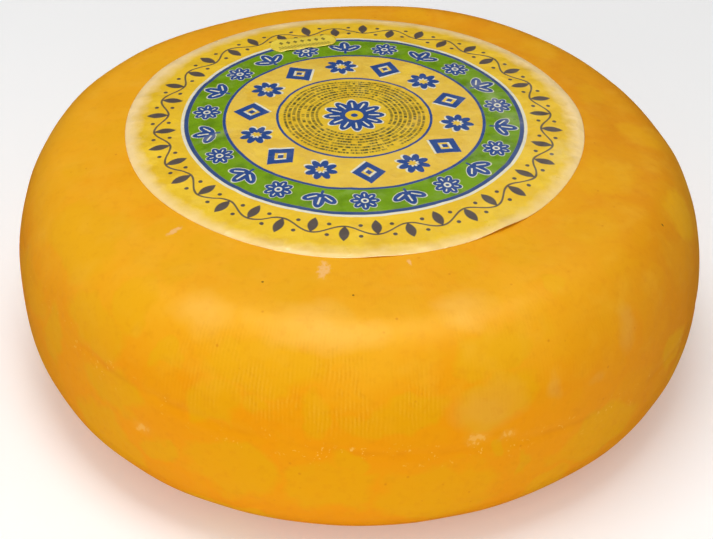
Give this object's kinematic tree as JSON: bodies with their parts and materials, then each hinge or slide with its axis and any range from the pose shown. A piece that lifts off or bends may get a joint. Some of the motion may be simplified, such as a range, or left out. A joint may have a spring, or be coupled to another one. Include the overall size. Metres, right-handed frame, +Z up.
{
  "type": "gouda cheese wheel",
  "caption": "Whole round cheese wheel with bulging side, crowned top and flat underside, in a waxy yellow coating, with a round paper label and a small date sticker on top.",
  "frame": {"origin": "on the floor, under the middle of the wheel, in the plane of the flat underside", "axes": "+Z up along the wheel's axis, from the underside to the labelled top; -Y towards the side that shows at the front, +X to its right"},
  "size_m": [0.2605, 0.2585, 0.0977],
  "materials": {
    "coated_rind": "waxy yellow-orange cheese coating, satin to glossy, cloudy with ochre patches",
    "printed_label": "printed paper under a thin glossy coating, yellow with green, blue and white print",
    "sticker": "light yellow self-adhesive sticker, satin"
  },
  "bodies": {
    "root": {"wheel": "coated_rind", "label": "printed_label", "date_sticker": "sticker"}
  },
  "joints": []
}
